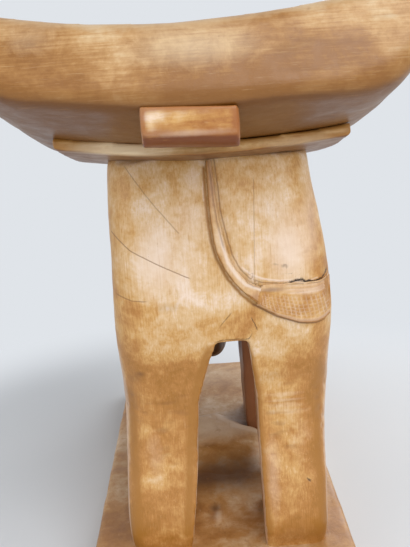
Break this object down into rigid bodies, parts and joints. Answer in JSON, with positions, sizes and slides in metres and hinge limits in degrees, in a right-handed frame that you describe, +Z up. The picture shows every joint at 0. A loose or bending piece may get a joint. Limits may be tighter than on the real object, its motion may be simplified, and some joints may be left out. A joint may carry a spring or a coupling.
{
  "type": "carved elephant stool",
  "caption": "Carved wooden stool: an elephant on a rectangular plinth carries a ledge and a curved, dished seat with a lug under each end.",
  "frame": {"origin": "middle of the plinth's underside, on the floor, under the middle of the seat", "axes": "+Z up, +Y the way the elephant faces, +X towards the elephant's right side"},
  "size_m": [0.284, 0.5754, 0.4595],
  "materials": {
    "plinth_wood": "waxed, dusty in the hollows",
    "body_wood": "hand rubbed wax over knife and adze marks",
    "tusk_wood": "hand rubbed wax",
    "tail_wood": "waxed, cut with fine crossing lines",
    "seat_wood": "waxed and worn smooth"
  },
  "bodies": {
    "root": {"base_plinth": "plinth_wood", "ground_mound": "plinth_wood", "hind_leg_left": "body_wood", "hind_leg_right": "body_wood", "foreleg_left": "body_wood", "foreleg_right": "body_wood", "torso": "body_wood", "head": "body_wood", "trunk": "body_wood", "tusk_left": "tusk_wood", "tusk_right": "tusk_wood", "ear_left": "body_wood", "ear_right": "body_wood", "tail": "tail_wood", "tail_tuft": "tail_wood", "seat_ledge": "seat_wood", "seat": "seat_wood", "lug_rear": "seat_wood", "lug_front": "seat_wood"}
  },
  "joints": []
}
